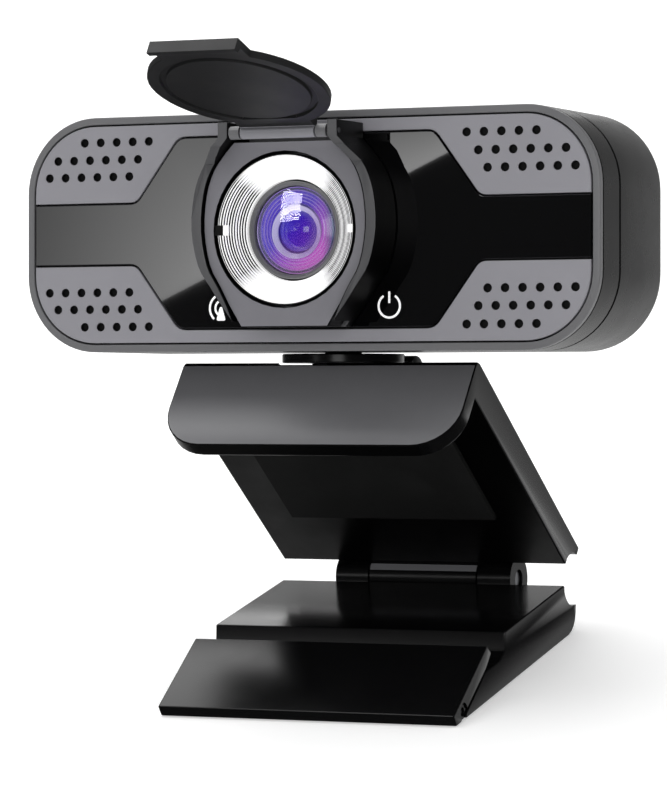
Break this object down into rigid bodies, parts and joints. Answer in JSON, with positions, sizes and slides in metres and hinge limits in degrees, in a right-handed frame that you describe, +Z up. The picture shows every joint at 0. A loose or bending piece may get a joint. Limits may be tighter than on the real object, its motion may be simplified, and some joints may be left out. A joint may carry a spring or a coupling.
{
  "type": "webcam on clip stand",
  "caption": "Wide webcam with a flip-up privacy cover, on a folding clip stand that tilts and swivels and also takes a camera tripod.",
  "frame": {"origin": "centre of the stand's flat underside, between the foot's front edge and the base's rear, on the surface it stands on", "axes": "+X to the right seen from the front, -Y the way the lens looks, +Z up"},
  "size_m": [0.101, 0.0731, 0.1123],
  "materials": {
    "gloss_black": "polished black ABS",
    "satin_black": "satin black ABS",
    "matte_black": "fine matt black plastic",
    "grille_grey": "mid grey satin plastic",
    "bezel_grey": "dark grey satin plastic",
    "housing_grey": "grey satin plastic",
    "silver": "turned bright metal with fine circular grooves",
    "steel": "plated steel",
    "brass": "turned brass",
    "coated_glass": "glass with a violet coating",
    "inner_glass": "glass with a rose coating",
    "sensor": "sensor cover glass",
    "circuit_board": "green solder mask",
    "chip_black": "black epoxy",
    "icon_white": "white translucent plastic",
    "rubber": "soft black rubber"
  },
  "bodies": {
    "base": {"base_block": "gloss_black", "hinge_pin": "steel", "tripod_socket": "brass", "base_pad_left": "rubber", "base_pad_right": "rubber", "foot_pin": "steel"},
    "foot": {"foot_flap": "gloss_black"},
    "bracket": {"bracket": "gloss_black", "plate_pad": "rubber", "lip_pad": "rubber", "tilt_pin": "steel"},
    "swivel": {"swivel_disc": "gloss_black", "pan_washer": "steel", "pan_screw": "steel"},
    "camera": {"rear_shell": "satin_black", "mid_band": "satin_black", "front_bezel": "bezel_grey", "front_panel": "gloss_black", "upper_grille": "grille_grey", "lower_grille": "grille_grey", "front_carrier": "matte_black", "power_indicator": "icon_white", "mic_indicator": "icon_white", "lens_rim": "housing_grey", "lens_surround": "housing_grey", "lens_bezel": "bezel_grey", "lens_barrel": "matte_black", "front_lens": "coated_glass", "aperture_ring": "matte_black", "middle_lens": "inner_glass", "rear_lens": "coated_glass", "infrared_filter": "inner_glass", "image_sensor": "sensor", "sensor_board": "circuit_board", "main_board": "circuit_board", "video_chip": "chip_black", "board_connector": "icon_white", "microphone_left": "steel", "microphone_right": "steel", "cable_grommet": "rubber", "case_screw_1": "steel", "case_screw_2": "steel", "case_screw_3": "steel", "case_screw_4": "steel", "cover_pin": "steel", "cover_bush_left": "bezel_grey", "cover_bush_right": "bezel_grey"},
    "focus_ring": {"focus_ring": "silver"},
    "cover": {"privacy_cover": "matte_black"}
  },
  "joints": [
    {"name": "clip_fold", "type": "hinge", "parent": "base", "child": "bracket", "pos_m": [0, 0.02724, 0.00834], "axis": [-1, 0, 0], "range_deg": [-42, 100]},
    {"name": "foot_flip", "type": "hinge", "parent": "base", "child": "foot", "pos_m": [0, -0.02324, 0.0013], "axis": [1, 0, 0], "range_deg": [0, 25]},
    {"name": "head_tilt", "type": "hinge", "parent": "bracket", "child": "swivel", "pos_m": [0, 0.00973, 0.04816], "axis": [-1, 0, 0], "range_deg": [0, 45]},
    {"name": "head_pan", "type": "hinge", "parent": "swivel", "child": "camera", "pos_m": [0, 0.00122, 0.05375], "axis": [0, 0.2385, 0.9711], "range_deg": [-180, 180]},
    {"name": "cover_flip", "type": "hinge", "parent": "camera", "child": "cover", "pos_m": [0, -0.01418, 0.09337], "axis": [-1, 0, 0], "range_deg": [-109, 65]},
    {"name": "focus_turn", "type": "hinge", "parent": "camera", "child": "focus_ring", "pos_m": [0, -0.0086, 0.07625], "axis": [0, -0.9711, 0.2385], "range_deg": [-45, 45]}
  ]
}
